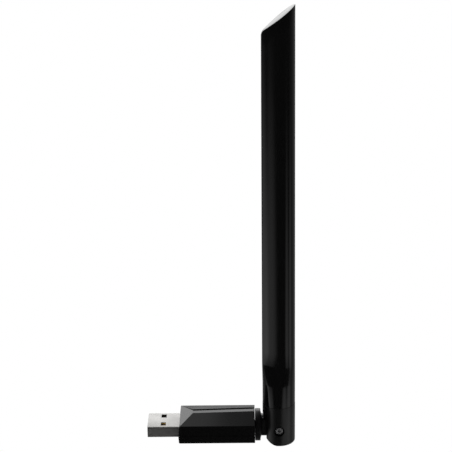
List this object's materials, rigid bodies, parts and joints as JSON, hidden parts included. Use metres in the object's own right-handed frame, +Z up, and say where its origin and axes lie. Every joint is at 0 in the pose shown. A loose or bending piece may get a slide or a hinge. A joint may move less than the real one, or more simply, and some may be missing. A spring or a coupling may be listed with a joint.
{
  "type": "usb wifi adapter",
  "caption": "Stick-shaped USB wireless adapter with a plug at one end and a tall blade antenna on a swivelling, folding hinge at the other.",
  "frame": {"origin": "centre of the USB plug's mouth, in the plane of its front edge", "axes": "+X from the plug's mouth towards the antenna, +Z up along the upright antenna, +Y to the left seen from the mouth looking along +X"},
  "size_m": [0.0581, 0.018, 0.1736],
  "materials": {
    "gloss_black_abs": "polished moulded ABS",
    "satin_black_plastic": "finely grained moulded plastic",
    "plug_nickel": "nickel-plated stamped steel",
    "rivet_steel": "plated steel",
    "white_insulator": "moulded thermoplastic",
    "contact_gold": "gold-plated copper alloy",
    "board_green": "glass-epoxy with solder mask",
    "chip_black": "moulded epoxy",
    "can_tin": "tin-plated steel",
    "capacitor_ceramic": "fired ceramic",
    "tube_brass": "drawn brass",
    "wire_copper": "bare copper wire",
    "cable_jacket": "extruded cable jacket",
    "foam_white": "expanded polyethylene",
    "washer_acetal": "moulded acetal"
  },
  "bodies": {
    "housing": {"plug_shell": "plug_nickel", "plug_insulator": "white_insulator", "contact_1": "contact_gold", "contact_2": "contact_gold", "contact_3": "contact_gold", "contact_4": "contact_gold", "upper_shell": "gloss_black_abs", "lower_shell": "gloss_black_abs", "circuit_board": "board_green", "radio_chip": "chip_black", "shield_can": "can_tin", "crystal": "can_tin", "voltage_regulator": "chip_black", "power_inductor": "chip_black", "capacitor_1": "capacitor_ceramic", "capacitor_2": "capacitor_ceramic", "capacitor_3": "capacitor_ceramic", "capacitor_4": "capacitor_ceramic", "coax_clamp": "tube_brass", "coax_in_housing": "cable_jacket"},
    "swivel": {"swivel_base": "satin_black_plastic", "swivel_washer": "washer_acetal", "coax_in_swivel": "cable_jacket"},
    "antenna": {"hinge_pin": "rivet_steel", "hinge_washer_near": "washer_acetal", "hinge_washer_far": "washer_acetal", "hinge_fork": "satin_black_plastic", "antenna_sleeve": "gloss_black_abs", "coax_in_antenna": "cable_jacket", "balun_tube": "tube_brass", "radiator_wire": "wire_copper", "foam_ring_lower": "foam_white", "foam_ring_middle": "foam_white", "foam_ring_upper": "foam_white"}
  },
  "joints": [
    {"name": "antenna_swivel", "type": "hinge", "parent": "housing", "child": "swivel", "pos_m": [0.0423, 0, 0], "axis": [1, 0, 0], "range_deg": [-130, 130]},
    {"name": "antenna_fold", "type": "hinge", "parent": "swivel", "child": "antenna", "pos_m": [0.05168, 0, 0], "axis": [0, 1, 0], "range_deg": [0, 90]}
  ]
}
